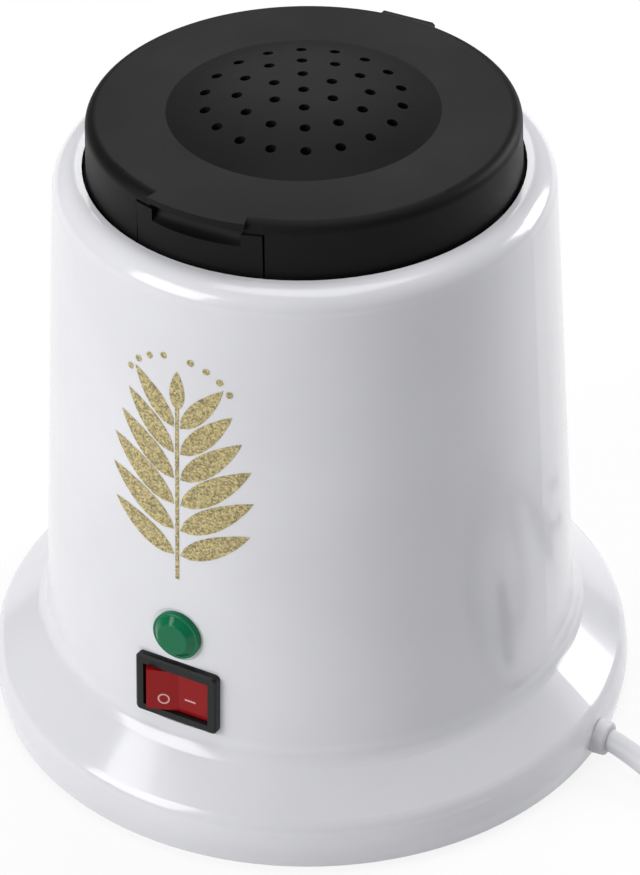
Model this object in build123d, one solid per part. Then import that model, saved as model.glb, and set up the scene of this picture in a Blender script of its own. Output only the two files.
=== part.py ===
from build123d import *
import math
import os

# Glass bead sterilizer with a hinged lid, in millimetres.
# The table is z = 0, the front with the switch faces -Y, the lead leaves at +X.

os.makedirs("parts", exist_ok=True)

# Housing, a one-piece white moulding
rim_lift = 1.5            # height of the rim above the table
base_radius = 75.3        # radius of the rim at its lower edge
rim_bulge = 0.8           # how far the rim stands out half-way up
ring_height = 10.9        # height of the rim band
ring_slope_rise = 10.8    # rise of the sloping ring from the rim to the wall
ring_run = 12.7           # how far the wall's foot lies inside the rim
body_height = 140.9       # top of the shoulder above the table
shell_wall = 2.5
ring_rounding = 5.5
foot_rounding = 7.5
shoulder_rounding = 5.5
shoulder_land = 6.4495    # from the opening to the wall's upper end

# Deck, lid and hinge
deck_clearance = 0.3      # radial gap between deck and opening
deck_thickness = 3.2
deck_drop = 1.3           # how far the deck lies below the shoulder
lid_gap = 0.8             # air between deck and skirt
lid_bottom_radius = 47.7
lid_top_radius = 47.2
lid_side_gap = 0.8        # radial gap between lid and opening
lid_wall = 2.4
lid_plate = 2.5
lid_height = 13.0
lid_edge_rounding = 2.5
dome_radius = 29.8
dome_height = 4.7
dome_wall = 2.0
vent_diameter = 2.4
vent_pitch = 7.17
front = -90.0             # direction of the front, from which the vents are counted too
vent_rings = [(6, 30.0), (12, 0.0), (18, 10.0)]
panel_half_angle = 18.35
panel_depth = 4.4
panel_gap = 0.4
panel_top_gap = 0.3
lip_half_angle = 13.9
lip_thickness = 1.4
lip_overhang = 0.3
scoop_radius = 3.4
scoop_half_width = 10.6
hinge_inset = 0.7         # hinge axis inside the lid's edge
hinge_above_deck = 7.0
knuckle_radius = 4.0
lug_half_width = 6.15
ear_gap = 0.35
ear_width = 3.8
pin_radius = 1.0
pin_running_fit = 0.08
hinge_bore_reach = 20.0

# Pot, heater and insulation
pot_bore_radius = 20.0
pot_wall = 1.5
pot_depth = 70.5
pot_flange_width = 7.5
pot_flange_thickness = 1.5
gasket_margin = 1.0
gasket_thickness = 1.5
deck_hole_gap = 2.5
bead_level_below_mouth = 18.0
bead_side_gap = 0.2
heater_gap = 0.2
heater_wall = 2.4
heater_height = 44.0
heater_lift = 8.0
heater_split = 8.0
clamp_ear_depth = 7.0
clamp_ear_thickness = 1.2
clamp_ear_share = 0.7     # of the heater's height
clamp_screw_levels = [0.3, 0.7]
heater_space = 10.7       # from the pot's outside to the sleeve
sleeve_wall = 7.8
sleeve_height = 64.0
disc_thickness = 3.8
shield_gap = 0.2
shield_wall = 0.8
tab_length = 7.6
tab_half_width = 5.5
post_radius = 4.0
post_off_can = 3.6
post_angles = [90.0, 210.0, 330.0]

# Base
plate_thickness = 0.8
plate_recess = 0.5        # plate above the rim's lower edge
plate_gap = 0.4
slot_length = 24.0
slot_width = 3.0
slot_pitch = 8.0
foot_pad_radius = 6.0
foot_inset = 14.3
foot_angles = [45.0, 135.0, 225.0, 315.0]
screw_radius = 1.3
screw_bore_gap = 0.05
screw_head_radius = 2.8
screw_head_height = 1.4
screw_head_rounding = 0.6
base_screw_inset = 13.3
base_screw_angles = [20.0, 110.0, 200.0, 290.0]
base_screw_length = 10.0
recess_length = 3.0       # cross recess in the screw heads
recess_width = 0.7
recess_depth = 0.7
boss_radius = 3.6
deck_screw_inset = 3.1
deck_screw_angles = [0.0, 120.0, 240.0]
deck_screw_length = 9.0
deck_boss_height = 13.0

# Rocker switch
switch_height = 35.2
bezel_width = 20.8
bezel_tall = 15.5
bezel_thickness = 2.0
bezel_rounding = 1.2
switch_body_width = 18.8
switch_body_tall = 12.6
switch_body_depth = 14.0
switch_cut_gap = 0.2
button_radius = 8.0
button_half_tall = 5.3
button_gap = 0.3
button_pivot_depth = 1.0
button_crown = 1.8
button_slope = 10.0
button_bottom = 5.2
well_floor_gap = 1.6
stub_radius = 1.0
stub_length = 0.8
switch_land_depth = 0.9
land_margin = 0.8
blade_width = 4.8
blade_thickness = 0.8
blade_length = 8.0
blade_spread = 5.0

# Pilot lamp
lamp_height = 51.1
lens_flange_radius = 5.85
lens_flange_thickness = 1.4
lens_radius = 4.7
lens_face_radius = 3.7
lens_standout = 2.8
lens_hollow = 1.9
lens_hollow_face = 2.6
bulb_start = -0.9
lens_wall = 0.9
lamp_body_radius = 4.9
lamp_body_length = 13.0
lamp_land_depth = 0.35
nut_across = 12.0
nut_thickness = 3.0
nut_stand_off = 0.8
bulb_radius = 2.0

# Lead
cord_diameter = 5.3
cord_height = 5.6
gland_head_radius = 4.2
gland_head_length = 3.0
gland_neck_radius = 3.3
gland_tail_radius = 3.1
gland_total_length = 22.0
gland_bore_gap = 0.05
inner_lead_length = 21.25
coil_centre_x = 138.0
coil_centre_y = 22.0
coil_turns_wide = 3
coil_layers = 2
coil_mid_radius = 31.0
tie_width = 8.0
tie_thickness = 1.0
tie_gap = 0.6
tie_angle = 200.0
plug_length = 34.0
plug_face_width = 34.0
plug_face_height = 15.0
plug_neck_width = 13.0
plug_neck_height = 9.0
pin_diameter_plug = 4.0
pin_length_plug = 19.0
pin_spacing_plug = 19.0

# Terminal block and thermal parts
block_length = 22.0
block_width = 12.0
block_height = 11.0
block_inset = 35.3        # block inside the rim
block_pitch = 7.0
block_screw_radius = 2.2
block_screw_hole_depth = 2.5
block_shank_radius = 1.2
block_screw_sunk = 1.2
block_bore_height = 4.2    # bores of the ways above the plate
insert_radius = 2.6
insert_bore_radius = 1.9
insert_recess = 1.0       # insert's ends inside the block's faces
thermostat_radius = 8.0
thermostat_height = 9.0
thermostat_x = -12.0
thermostat_y = 8.0
thermostat_blade_spread = 4.0
fuse_radius = 2.0
fuse_length = 11.0
fuse_y = -12.0

# Wires inside
wire_radius = 0.8
wire_gap = 0.05           # round a wire in its hole
wire_pair_offset = 0.95    # half the distance between two wires in one way
core_offset = 1.3          # cores off the middle of the lead
wire_stop = 0.8            # wires end this far from the middle of the block
wire_start = 0.3           # wires start this far behind a blade
lamp_wire_spread = 1.8
heater_wire_angles = [118.0, 60.0]
heater_hole_gap = 0.3
connector_behind = 4.0      # connector past the end of its blade
connector_over_blade = 6.0
connector_width = 3.0
connector_height = 6.4
earth_x = 27.0
earth_y = 24.0
tag_radius = 3.4
tag_thickness = 0.8
tag_tongue = 7.0
barrel_radius = 1.5
barrel_length = 5.0
stud_radius = 1.5
stud_height = 6.5
earth_nut_height = 2.2

# Radii and levels worked out from the sizes above
top_opening_radius = lid_bottom_radius + lid_side_gap
shoulder_radius = top_opening_radius + shoulder_land
wall_foot_radius = base_radius - ring_run
hinge_y = lid_bottom_radius - hinge_inset
deck_screw_circle = top_opening_radius - deck_screw_inset
pot_outer_radius = pot_bore_radius + pot_wall
pot_flange_radius = pot_bore_radius + pot_flange_width
gasket_radius = pot_flange_radius + gasket_margin
deck_hole_radius = pot_outer_radius + deck_hole_gap
heater_wire_circle = pot_outer_radius + heater_gap + heater_wall / 2
sleeve_bore_radius = pot_outer_radius + heater_space
can_inner_radius = sleeve_bore_radius + sleeve_wall + shield_gap
can_outer_radius = can_inner_radius + shield_wall
post_circle = can_outer_radius + post_off_can
foot_circle = base_radius - foot_inset
base_screw_circle = base_radius - base_screw_inset
plate_bottom = rim_lift + plate_recess
plate_top = plate_bottom + plate_thickness
deck_top = body_height - deck_drop
deck_bottom = deck_top - deck_thickness
skirt_bottom = deck_top + lid_gap
lid_top = skirt_bottom + lid_height
lid_underside = lid_top - lid_plate
hinge_z = deck_top + hinge_above_deck
flange_bottom = deck_top + gasket_thickness
mouth = flange_bottom + pot_flange_thickness
pot_floor = mouth - pot_depth
pot_bottom = pot_floor - pot_wall
shield_top_of_floor = pot_bottom - disc_thickness
shield_bottom = shield_top_of_floor - shield_wall
cord_radius = cord_diameter / 2
spot_face_x = base_radius + rim_bulge - 0.35
gland_end_x = spot_face_x + gland_head_length
ring_top = rim_lift + ring_height
wall_foot = ring_top + ring_slope_rise
wall_taper = (wall_foot_radius - shoulder_radius) / (body_height - wall_foot)
inner_lead_start_x = gland_end_x - inner_lead_length
block_x = base_radius - block_inset
core_end_x = block_x + wire_stop
wire_end_x = block_x - wire_stop


def wall_radius(z):
    """Outer radius of the housing's tapering wall at a height."""
    return wall_foot_radius - (z - wall_foot) * wall_taper


def outline(points, radii):
    """A closed flat face in the XZ plane, each corner with its own rounding."""
    placed = [(x, 0, z) for x, z in points]
    edge = FilletPolyline(*placed, radius=radii, close=True)
    return make_face(edge)


def turned(points, radii=None):
    """A solid turned about the vertical axis from an outline of radius and height."""
    if radii is None:
        radii = [0] * len(points)
    return revolve(outline(points, radii), Axis.Z)


def sector(inner, outer, low, high, facing, half_angle):
    """A block cut from a ring, centred on a direction."""
    ring = Pos(0, 0, low) * extrude(Circle(outer) - Circle(inner), high - low)
    reach = 2 * outer
    side = reach * math.tan(math.radians(half_angle))
    wedge = Polyline((0, 0), (reach, -side), (reach, side), close=True)
    block = Pos(0, 0, low) * extrude(make_face(wedge), high - low)
    return ring & (Rot(0, 0, facing) * block)


def upright(radius, low, high, x=0.0, y=0.0):
    """A vertical round bar between two heights."""
    return Pos(x, y, low) * extrude(Circle(radius), high - low)


def around(radius, angle):
    """The point at a radius and a direction from the vertical axis."""
    turn = math.radians(angle)
    return radius * math.cos(turn), radius * math.sin(turn)


def wall_place(z, depth):
    """A frame on the front of the wall, its -Y pointing out, sunk by a depth."""
    lean = math.degrees(math.atan(wall_taper))
    return Location((0, -wall_radius(z), z), (-lean, 0, 0)) * Pos(0, depth, 0)


def facing_bar(radius, start, end):
    """A round bar along local Y."""
    return Pos(0, start, 0) * (Rot(-90, 0, 0) * extrude(Circle(radius), end - start))


def save(name, shape):
    export_step(shape, f"parts/{name}.step")


switch_place = wall_place(switch_height, switch_land_depth)
lamp_place = wall_place(lamp_height, lamp_land_depth)


def base_screw_boss(angle):
    """A post under the sloping ring that takes a base screw."""
    x, y = around(base_screw_circle, angle)
    return upright(boss_radius, plate_top, ring_top + 5.5, x, y)


def deck_screw_boss(angle):
    """A post on the inside of the wall that carries the deck."""
    x, y = around(deck_screw_circle, angle)
    low = deck_bottom - deck_boss_height
    post = upright(boss_radius, low, deck_bottom, x, y)
    reach = wall_radius(low) - shell_wall / 2 - deck_screw_circle
    web = Box(reach, 3.0, deck_boss_height, align=(Align.MIN, Align.CENTER, Align.MIN))
    return post + Rot(0, 0, angle) * (Pos(deck_screw_circle, 0, low) * web)


def make_housing():
    """The white shell with its flared ring, its bosses and its openings."""
    rim_mid = rim_lift + 0.48 * ring_height
    outer = [
        (0, rim_lift),
        (base_radius, rim_lift),
        (base_radius + rim_bulge, rim_mid),
        (base_radius - 0.3, ring_top),
        (wall_foot_radius, wall_foot),
        (shoulder_radius, body_height),
        (0, body_height),
    ]
    skin = turned(outer, [0, 0, 12.0, ring_rounding, foot_rounding, shoulder_rounding, 0])
    inner = [
        (0, rim_lift - 1),
        (base_radius - shell_wall, rim_lift - 1),
        (base_radius - shell_wall, ring_top - 1.2),
        (wall_foot_radius - shell_wall, wall_foot - 1.4),
        (shoulder_radius - shell_wall, body_height - shell_wall),
        (0, body_height - shell_wall),
    ]
    hollow = turned(inner, [0, 0, 3.0, foot_rounding + shell_wall, 3.0, 0])
    bosses = [base_screw_boss(angle) for angle in base_screw_angles]
    bosses += [deck_screw_boss(angle) for angle in deck_screw_angles]
    shell = skin - hollow
    for boss in bosses:
        shell += boss & skin
    shell -= upright(top_opening_radius, body_height - shell_wall - 1, body_height + 1)
    bore = screw_radius + screw_bore_gap
    for angle in base_screw_angles:
        x, y = around(base_screw_circle, angle)
        shell -= upright(bore, plate_top - 1, plate_top + base_screw_length, x, y)
    for angle in deck_screw_angles:
        low = deck_bottom - deck_screw_length
        shell -= upright(bore, low, deck_bottom + 1, *around(deck_screw_circle, angle))
    land_wide = bezel_width + 2 * land_margin
    land_tall = bezel_tall + 2 * land_margin
    land = Box(land_wide, 6, land_tall, align=(Align.CENTER, Align.MAX, Align.CENTER))
    cut_wide = switch_body_width + 2 * switch_cut_gap
    cut_tall = switch_body_tall + 2 * switch_cut_gap
    shell -= switch_place * land
    shell -= switch_place * Box(cut_wide, 12, cut_tall)
    shell -= lamp_place * facing_bar(lens_flange_radius + land_margin, -4, 0)
    shell -= lamp_place * facing_bar(lamp_body_radius + 0.15, -2, 6)
    shell -= cross_bar(gland_neck_radius + 0.1, base_radius - 8, base_radius + 8, 0, cord_height)
    shell -= cross_bar(gland_head_radius + 0.4, spot_face_x, spot_face_x + 4, 0, cord_height)
    return shell


def make_base_plate():
    """The sheet steel bottom with two rows of air slots."""
    plate = upright(base_radius - shell_wall - plate_gap, plate_bottom, plate_top)
    for angle in base_screw_angles:
        plate -= upright(screw_radius + 0.2, 0, 9, *around(base_screw_circle, angle))
    for angle in post_angles:
        plate -= upright(screw_radius + 0.1, 0, 9, *around(post_circle, angle))
    for row in range(-2, 3):
        slot = SlotOverall(slot_length, slot_width)
        plate -= Pos(0, row * slot_pitch, 0) * extrude(slot, 9)
    notch = Box(gland_total_length, 2 * gland_head_radius, 9, align=(Align.MAX, Align.CENTER, Align.CENTER))
    return plate - Pos(base_radius, 0, 0) * notch


def make_feet():
    pads = []
    for angle in foot_angles:
        pad = upright(foot_pad_radius, 0, plate_bottom, *around(foot_circle, angle))
        pads.append(chamfer(pad.edges().group_by(Axis.Z)[0], 0.5))
    return Compound(children=pads)


def driver_recess():
    """The cross that a driver fits, centred on the face of a screw's head."""
    bar = Box(recess_length, recess_width, 2 * recess_depth)
    return bar + Rot(0, 0, 90) * bar


def pan_screw(x, y, seat, length, upward=True):
    """A pan head screw, its head under the seat when it points up."""
    shank = upright(screw_radius, 0, length)
    head = upright(screw_head_radius, -screw_head_height, 0)
    head = fillet(head.edges().group_by(Axis.Z)[0], screw_head_rounding)
    screw = shank + head - Pos(0, 0, -screw_head_height) * driver_recess()
    if not upward:
        screw = Rot(180, 0, 0) * screw
    return Pos(x, y, seat) * screw


def make_base_screws():
    screws = []
    for angle in base_screw_angles:
        x, y = around(base_screw_circle, angle)
        screws.append(pan_screw(x, y, plate_bottom, base_screw_length))
    return Compound(children=screws)


def make_post_screws():
    """The screws that hold the three posts to the base and the heat shield."""
    screws = []
    for angle in post_angles:
        x, y = around(post_circle, angle)
        screws.append(pan_screw(x, y, plate_bottom, 8.0))
        screws.append(pan_screw(x, y, shield_top_of_floor, 8.0, upward=False))
    return Compound(children=screws)


def make_posts():
    posts = []
    bore = screw_radius + screw_bore_gap
    for angle in post_angles:
        x, y = around(post_circle, angle)
        post = Pos(x, y, plate_top) * extrude(RegularPolygon(post_radius, 6), shield_bottom - plate_top)
        post -= upright(bore, plate_top - 1, plate_top + 9, x, y)
        post -= upright(bore, shield_bottom - 9, shield_bottom + 1, x, y)
        posts.append(post)
    return Compound(children=posts)


def hinge_profile(points):
    """An outline in the YZ plane, to be pulled along X."""
    edge = Polyline(*[(0, y, z) for y, z in points], close=True)
    return make_face(edge)


def pulled(face, start, end):
    """The face pulled along X between two places."""
    return Pos(start, 0, 0) * extrude(face, end - start, dir=(1, 0, 0))


def cross_bar(radius, start, end, y, z):
    """A round bar along X."""
    return Pos(start, y, z) * (Rot(0, 90, 0) * extrude(Circle(radius), end - start))


def make_deck():
    """The black top plate with the pot's hole, the front panel and the hinge ears."""
    radius = top_opening_radius - deck_clearance
    deck = turned(
        [
            (deck_hole_radius, deck_bottom),
            (radius, deck_bottom),
            (radius, deck_top),
            (deck_hole_radius, deck_top),
        ],
        [0, 0, 0.5, 0.8],
    )
    panel_top = lid_underside - panel_top_gap
    panel_back = lid_bottom_radius - panel_depth
    panel = sector(panel_back, lid_bottom_radius, deck_top - 1, panel_top, front, panel_half_angle)
    scoop_y = -lid_bottom_radius - 0.2
    panel -= cross_bar(scoop_radius, -scoop_half_width, scoop_half_width, scoop_y, panel_top + 0.3)
    deck += panel
    ear = hinge_profile(
        [
            (hinge_y - knuckle_radius - 0.6, deck_top - 1),
            (hinge_y, deck_top - 1),
            (hinge_y, deck_top + 1.8),
            (hinge_y + knuckle_radius * 0.93, hinge_z - knuckle_radius * 0.37),
            (hinge_y - knuckle_radius * 0.98, hinge_z + knuckle_radius * 0.2),
        ]
    )
    inner_x = lug_half_width + ear_gap
    for start in (inner_x, -inner_x - ear_width):
        block = pulled(ear, start, start + ear_width)
        block += cross_bar(knuckle_radius, start, start + ear_width, hinge_y, hinge_z)
        deck += block
    deck -= cross_bar(pin_radius, -hinge_bore_reach, hinge_bore_reach, hinge_y, hinge_z)
    for angle in deck_screw_angles:
        x, y = around(deck_screw_circle, angle)
        deck -= upright(screw_radius + 0.2, deck_bottom - 1, deck_top + 1, x, y)
        deck -= Pos(x, y, deck_top - 1.0) * Cone(screw_radius + 0.2, screw_head_radius + 0.2, 2.0)
    return deck


def make_deck_screws():
    """Countersunk screws, flush with the deck."""
    screws = []
    for angle in deck_screw_angles:
        x, y = around(deck_screw_circle, angle)
        shank = upright(screw_radius, deck_bottom - deck_screw_length + 1, deck_top - 1.2, x, y)
        head = Pos(x, y, deck_top - 0.8) * Cone(screw_radius, screw_head_radius - 0.2, 1.3)
        screws.append(shank + head - Pos(x, y, deck_top) * driver_recess())
    return Compound(children=screws)


def make_lid():
    """The black cap: skirt, flat top, domed vents, front lip and hinge lug."""
    outer = turned(
        [(0, skirt_bottom), (lid_bottom_radius, skirt_bottom), (lid_top_radius, lid_top), (0, lid_top)],
        [0, 0, lid_edge_rounding, 0],
    )
    inner_low = lid_bottom_radius - lid_wall
    inner_high = lid_top_radius - lid_wall
    inner = turned(
        [
            (0, skirt_bottom - 1),
            (inner_low, skirt_bottom - 1),
            (inner_high, lid_underside),
            (0, lid_underside),
        ],
        [0, 0, 1.0, 0],
    )
    curve = (dome_radius**2 + dome_height**2) / (2 * dome_height)
    centre = lid_top + dome_height - curve
    core = upright(dome_radius + 0.01, lid_top - 0.5, lid_top + dome_height + 1)
    dome = (Pos(0, 0, centre) * Sphere(curve)) & core
    under = upright(dome_radius - 1.5, lid_underside - 1, lid_top + dome_height)
    hollow = (Pos(0, 0, centre) * Sphere(curve - dome_wall)) & under
    lid = outer + dome - inner - hollow
    for number, (count, phase) in enumerate(vent_rings, start=1):
        for step in range(count):
            angle = front + phase + step * 360 / count
            x, y = around(number * vent_pitch, angle)
            lid -= upright(vent_diameter / 2, lid_underside - 1, lid_top + dome_height + 1, x, y)
    lid -= upright(vent_diameter / 2, lid_underside - 1, lid_top + dome_height + 1)
    slit = math.degrees(panel_gap / lid_bottom_radius)
    clear_inner = lid_bottom_radius - panel_depth - panel_gap
    lip_reach = lid_bottom_radius + lip_overhang
    lip_bottom = lid_top - lip_thickness
    beyond = lip_reach + 1
    lid -= sector(clear_inner, beyond, skirt_bottom - 1, lid_underside, front, panel_half_angle + slit)
    lid += sector(clear_inner - 4, lip_reach, lip_bottom, lid_top, front, lip_half_angle)
    lid -= sector(clear_inner, beyond, lid_underside - 1, lip_bottom, front, lip_half_angle)
    notch_half = lug_half_width + 2 * ear_gap + ear_width
    notch = Box(2 * notch_half, 20, 30, align=(Align.CENTER, Align.MIN, Align.MAX))
    lid -= Pos(0, hinge_y - knuckle_radius - 1.4, lid_underside) * notch
    lug = hinge_profile(
        [
            (lid_top_radius - 5.5, lid_underside + 0.3),
            (lid_top_radius - 4.0, lid_underside - 1.6),
            (hinge_y - knuckle_radius * 0.9, hinge_z - knuckle_radius * 0.3),
            (hinge_y + knuckle_radius * 0.98, hinge_z - knuckle_radius * 0.1),
            (hinge_y + 3.4, lid_underside - 0.4),
            (hinge_y + 2.2, lid_underside + 0.8),
            (lid_top_radius - 4.0, lid_underside + 1.2),
        ]
    )
    lug_block = pulled(lug, -lug_half_width, lug_half_width)
    lug_block += cross_bar(knuckle_radius, -lug_half_width, lug_half_width, hinge_y, hinge_z)
    lid += lug_block
    lid -= cross_bar(pin_radius + pin_running_fit, -hinge_bore_reach, hinge_bore_reach, hinge_y, hinge_z)
    return lid


def make_hinge_pin():
    half = lug_half_width + ear_gap + ear_width
    return cross_bar(pin_radius, -half, half, hinge_y, hinge_z)


def make_crucible():
    """The drawn steel pot with its flange."""
    outer = pot_outer_radius
    return turned(
        [
            (0, pot_bottom),
            (outer, pot_bottom),
            (outer, flange_bottom),
            (pot_flange_radius, flange_bottom),
            (pot_flange_radius, mouth),
            (pot_bore_radius, mouth),
            (pot_bore_radius, pot_floor),
            (0, pot_floor),
        ],
        [0, 4.0, 0, 0, 0.5, 1.0, 2.5, 0],
    )


def make_beads():
    """The fill of glass beads, up to its level in the pot."""
    side = pot_bore_radius - bead_side_gap
    level = mouth - bead_level_below_mouth
    return turned([(0, pot_floor), (side, pot_floor), (side, level), (0, level)], [0, 2.6, 0, 0])


def make_gasket():
    return turned(
        [
            (pot_outer_radius + 0.4, deck_top),
            (gasket_radius, deck_top),
            (gasket_radius, flange_bottom),
            (pot_outer_radius + 0.4, flange_bottom),
        ]
    )


def make_heater():
    """A split band heater with two clamp ears."""
    inner = pot_outer_radius + heater_gap
    outer = inner + heater_wall
    low = pot_bottom + heater_lift
    band = Pos(0, 0, low) * extrude(Circle(outer) - Circle(inner), heater_height)
    half_gap = heater_split / 2
    band -= Pos(outer, 0, low - 1) * Box(
        2 * heater_wall + 6, heater_split, heater_height + 2, align=(Align.CENTER, Align.CENTER, Align.MIN)
    )
    ear = Box(
        clamp_ear_depth + heater_wall,
        clamp_ear_thickness,
        heater_height * clamp_ear_share,
        align=(Align.MIN, Align.MIN, Align.MIN),
    )
    lift = low + heater_height * (1 - clamp_ear_share) / 2
    start = inner + 0.3
    band += Pos(start, half_gap, lift) * ear
    band += Pos(start, -half_gap - clamp_ear_thickness, lift) * ear
    for level in clamp_screw_levels:
        hole = Rot(90, 0, 0) * Cylinder(screw_radius + 0.1, 30)
        band -= Pos(outer + clamp_ear_depth * 0.5, 0, low + heater_height * level) * hole
    return band


def make_clamp_screws():
    outer = pot_outer_radius + heater_gap + heater_wall
    low = pot_bottom + heater_lift
    half = heater_split / 2 + clamp_ear_thickness
    screws = []
    for level in clamp_screw_levels:
        shank = Pos(0, -half, 0) * (Rot(-90, 0, 0) * extrude(Circle(screw_radius), 2 * half + 3.0))
        head = Pos(0, -half, 0) * (Rot(90, 0, 0) * extrude(Circle(screw_head_radius), 1.6))
        nut = Pos(0, half, 0) * (Rot(-90, 0, 0) * extrude(RegularPolygon(2.9, 6), 2.2))
        screw = shank + head + nut
        screws.append(Pos(outer + clamp_ear_depth * 0.5, 0, low + heater_height * level) * screw)
    return Compound(children=screws)


def make_sleeve():
    """The ceramic fibre sleeve round the heater."""
    outer = sleeve_bore_radius + sleeve_wall
    ring = Circle(outer) - Circle(sleeve_bore_radius)
    return Pos(0, 0, shield_top_of_floor) * extrude(ring, sleeve_height)


def heater_wire_holes():
    """The two bores that the heater's wires take through the disc and the can."""
    bores = []
    for angle in heater_wire_angles:
        x, y = around(heater_wire_circle, angle)
        bores.append(upright(wire_radius + heater_hole_gap, shield_bottom - 1, pot_bottom + 1, x, y))
    return bores


def make_disc():
    disc = upright(sleeve_bore_radius - 0.2, shield_top_of_floor, pot_bottom)
    for bore in heater_wire_holes():
        disc -= bore
    return disc


def make_shield():
    """The steel can round the insulation, with three tabs."""
    inner = can_inner_radius
    outer = can_outer_radius
    can = upright(outer, shield_bottom, shield_top_of_floor + sleeve_height)
    can -= upright(inner, shield_top_of_floor, shield_top_of_floor + sleeve_height + 1)
    outward = (Align.MIN, Align.CENTER, Align.MIN)
    tab = Box(tab_length + 1, 2 * tab_half_width, shield_wall, align=outward)
    for angle in post_angles:
        can += Rot(0, 0, angle) * (Pos(outer - 1, 0, shield_bottom) * tab)
    for angle in post_angles:
        x, y = around(post_circle, angle)
        can -= upright(screw_radius + 0.1, shield_bottom - 1, shield_top_of_floor + 3, x, y)
    for bore in heater_wire_holes():
        can -= bore
    return can


def make_thermostat():
    """A bimetal disc thermostat under the shield, with its two blades."""
    top = shield_bottom
    body = upright(thermostat_radius, top - thermostat_height, top, thermostat_x, thermostat_y)
    hanging = (Align.CENTER, Align.CENTER, Align.MAX)
    blade = Box(blade_width, blade_thickness, blade_length, align=hanging)
    for side in (-1, 1):
        y = thermostat_y + side * thermostat_blade_spread
        body += Pos(thermostat_x, y, top - thermostat_height) * blade
    return body


def make_thermal_fuse():
    return cross_bar(fuse_radius, -fuse_length / 2, fuse_length / 2, fuse_y, shield_bottom - fuse_radius)


def make_switch_housing():
    """The black snap-in body with its bezel and the well for the button."""
    bezel = Box(bezel_width, bezel_thickness, bezel_tall, align=(Align.CENTER, Align.MAX, Align.CENTER))
    bezel = fillet(bezel.edges().filter_by(Axis.Y), bezel_rounding)
    bezel = chamfer(bezel.faces().sort_by(Axis.Y)[0].edges(), 0.5)
    inward = (Align.CENTER, Align.MIN, Align.CENTER)
    shape = bezel + Box(switch_body_width, switch_body_depth, switch_body_tall, align=inward)
    well_wide = 2 * (button_radius + button_gap)
    well_tall = 2 * (button_half_tall + button_gap)
    well_depth = button_bottom + well_floor_gap + bezel_thickness
    well = Box(well_wide, well_depth, well_tall, align=inward)
    shape -= Pos(0, -bezel_thickness, 0) * well
    reach = button_half_tall + stub_length + 0.3
    bore = Cylinder(stub_radius + pin_running_fit, 2 * reach)
    shape -= Pos(0, button_pivot_depth, 0) * bore
    return switch_place * shape


def make_rocker():
    """The button, drawn level and then turned so that the right side is pressed."""
    slope = math.tan(math.radians(button_slope))
    wide = button_radius * 2
    crown = -button_crown + button_pivot_depth
    face = Polyline(
        (-wide, crown - slope * wide),
        (0, crown),
        (wide, crown - slope * wide),
        (wide, button_bottom),
        (-wide, button_bottom),
        close=True,
    )
    drum = Pos(0, button_pivot_depth) * Circle(button_radius)
    button = extrude(make_face(face) & drum, button_half_tall, both=True)
    button += Pos(0, button_pivot_depth, 0) * Cylinder(stub_radius, 2 * (button_half_tall + stub_length))
    turn = Pos(0, button_pivot_depth, 0) * Rot(0, 0, button_slope) * Pos(0, -button_pivot_depth, 0)
    return switch_place * (turn * button)


def make_terminals():
    """The two flat blades at the back of the switch."""
    blades = []
    inward = (Align.CENTER, Align.MIN, Align.CENTER)
    blade = Box(blade_thickness, blade_length, blade_width, align=inward)
    for side in (-1, 1):
        blades.append(switch_place * (Pos(side * blade_spread, switch_body_depth, 0) * blade))
    return Compound(children=blades)


def make_lens():
    """The green lens: a low cone on its flange, hollow behind."""
    outer = turned(
        [
            (0, 0),
            (lens_flange_radius, 0),
            (lens_flange_radius, lens_flange_thickness),
            (lens_radius + 0.5, lens_flange_thickness),
            (lens_face_radius, lens_standout),
            (0, lens_standout),
        ],
        [0, 0, 0.4, 0, 0.5, 0],
    )
    bore = lens_radius - lens_wall
    inner = turned([(0, -1), (bore, -1), (bore, 1.0), (lens_hollow_face, lens_hollow), (0, lens_hollow)])
    return lamp_place * (Rot(90, 0, 0) * (outer - inner))


def make_lamp_body():
    bore = lens_radius - lens_wall
    body = facing_bar(lamp_body_radius, 0, lamp_body_length)
    body -= facing_bar(bore, -1, 6.0)
    body -= facing_bar(bulb_radius + 0.1, 5.0, lamp_body_length - 2.0)
    return lamp_place * body


def make_lamp_nut():
    start = shell_wall - lamp_land_depth + nut_stand_off
    nut = RegularPolygon(nut_across / 2, 6, major_radius=False) - Circle(lamp_body_radius + 0.05)
    return lamp_place * (Pos(0, start, 0) * (Rot(-90, 0, 0) * extrude(nut, nut_thickness)))


def make_bulb():
    """The small neon tube behind the lens."""
    bar = facing_bar(bulb_radius, bulb_start, lamp_body_length - 2.4)
    return lamp_place * fillet(bar.edges().sort_by(Axis.Y)[0], 1.6)


def route_radii(points):
    """The largest arc that each corner of a route allows."""
    spots = [Vector(*point) for point in points]
    radii = []
    for before, corner, after in zip(spots, spots[1:], spots[2:]):
        arriving = corner - before
        leaving = after - corner
        half_turn = math.radians(arriving.get_angle(leaving)) / 2
        shorter = min(arriving.length, leaving.length)
        radii.append(0.45 * shorter / math.tan(half_turn))
    return radii


def tube(points, radius):
    """A plain tube of straight runs and tangent arcs."""
    path = FilletPolyline(*points, radius=route_radii(points))
    start = Plane(origin=path @ 0, z_dir=path % 0)
    return sweep(start * Circle(radius), path=path)


def wire(points):
    """An insulated wire along a route."""
    return tube(points, wire_radius)


def block_bar(radius, start, end, way):
    """A round bar along X in one way of the block."""
    return cross_bar(radius, start, end, way * block_pitch, plate_top + block_bore_height)


def block_screw_holes():
    """The recesses for the heads of the clamping screws and the bores for their shanks."""
    top = plate_top + block_height
    holes = []
    for way in (-1, 0, 1):
        y = way * block_pitch
        hole = upright(block_screw_radius, top - block_screw_hole_depth, top + 1, block_x, y)
        bore = upright(block_shank_radius + wire_gap, plate_top + block_bore_height, top, block_x, y)
        holes.append(hole + bore)
    return holes


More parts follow.
